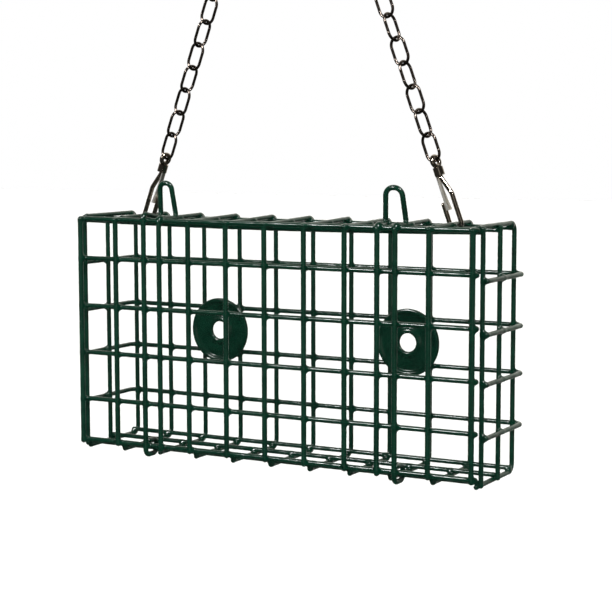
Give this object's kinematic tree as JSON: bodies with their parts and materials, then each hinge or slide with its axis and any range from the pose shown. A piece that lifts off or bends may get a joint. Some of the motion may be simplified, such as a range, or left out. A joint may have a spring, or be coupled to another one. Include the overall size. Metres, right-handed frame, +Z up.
{
  "type": "hanging bird feeder",
  "caption": "Hanging wire suet feeder: a vinyl-dipped cage with a drop-down door, carried by chains and snap hooks from an S-hook.",
  "frame": {"origin": "hanging point: the top of the inside of the S-hook's upper bend, where it sits on a bracket or branch", "axes": "+X along the basket to the right as seen from the door, +Y from the door to the back, +Z up"},
  "size_m": [0.2592, 0.0611, 0.4442],
  "materials": {
    "green_vinyl": "steel wire dipped in thick glossy dark green vinyl",
    "black_nickel": "dark black-nickel plate, glossy and a little uneven",
    "bright_nickel": "bright nickel plate",
    "spring_strip": "bright rolled spring strip",
    "zinc": "bright zinc-plated wire"
  },
  "bodies": {
    "hanger": {"s_hook": "zinc"},
    "chains": {"left_chain": "black_nickel", "right_chain": "black_nickel", "left_snap_body": "bright_nickel", "right_snap_body": "bright_nickel", "left_snap_collar": "bright_nickel", "right_snap_collar": "bright_nickel"},
    "basket": {"cross_wire_0": "green_vinyl", "cross_wire_1": "green_vinyl", "cross_wire_2": "green_vinyl", "cross_wire_3": "green_vinyl", "cross_wire_4": "green_vinyl", "cross_wire_5": "green_vinyl", "cross_wire_6": "green_vinyl", "cross_wire_7": "green_vinyl", "cross_wire_8": "green_vinyl", "cross_wire_9": "green_vinyl", "cross_wire_10": "green_vinyl", "band_wire_1": "green_vinyl", "band_wire_2": "green_vinyl", "band_wire_3": "green_vinyl", "band_wire_4": "green_vinyl", "front_top_rail": "green_vinyl", "hinge_rail": "green_vinyl", "middle_top_rail": "green_vinyl", "middle_bottom_rail": "green_vinyl", "back_top_rail": "green_vinyl", "back_bottom_rail": "green_vinyl", "front_left_post": "green_vinyl", "front_right_post": "green_vinyl", "middle_left_post": "green_vinyl", "middle_right_post": "green_vinyl", "left_washer": "green_vinyl", "right_washer": "green_vinyl"},
    "door": {"door_rail_0": "green_vinyl", "door_rail_1": "green_vinyl", "door_rail_2": "green_vinyl", "door_rail_3": "green_vinyl", "door_rail_4": "green_vinyl", "door_rail_5": "green_vinyl", "door_upright_0": "green_vinyl", "door_upright_1": "green_vinyl", "door_upright_3": "green_vinyl", "door_upright_4": "green_vinyl", "door_upright_5": "green_vinyl", "door_upright_6": "green_vinyl", "door_upright_7": "green_vinyl", "door_upright_9": "green_vinyl", "door_upright_10": "green_vinyl", "left_hairpin": "green_vinyl", "right_hairpin": "green_vinyl"},
    "left_gate": {"left_snap_gate": "spring_strip"},
    "right_gate": {"right_snap_gate": "spring_strip"}
  },
  "joints": [
    {"name": "chain_swing", "type": "hinge", "parent": "hanger", "child": "chains", "pos_m": [0, 0, -0.0395], "axis": [1, 0, 0], "range_deg": [-40, 40]},
    {"name": "basket_tilt", "type": "hinge", "parent": "chains", "child": "basket", "pos_m": [0, 0, -0.30612], "axis": [1, 0, 0], "range_deg": [-30, 30]},
    {"name": "door_swing", "type": "hinge", "parent": "basket", "child": "door", "pos_m": [0, -0.0267, -0.43617], "axis": [1, 0, 0], "range_deg": [0, 115]},
    {"name": "left_gate_press", "type": "hinge", "parent": "chains", "child": "left_gate", "pos_m": [-0.08719, -0.00032, -0.27698], "axis": [0.1631, 0.9848, -0.0597], "range_deg": [0, 8], "stiffness_Nm_per_rad": 0.002},
    {"name": "right_gate_press", "type": "hinge", "parent": "chains", "child": "right_gate", "pos_m": [0.08719, 0.00032, -0.27698], "axis": [-0.1631, -0.9848, -0.0597], "range_deg": [0, 8], "stiffness_Nm_per_rad": 0.002}
  ]
}
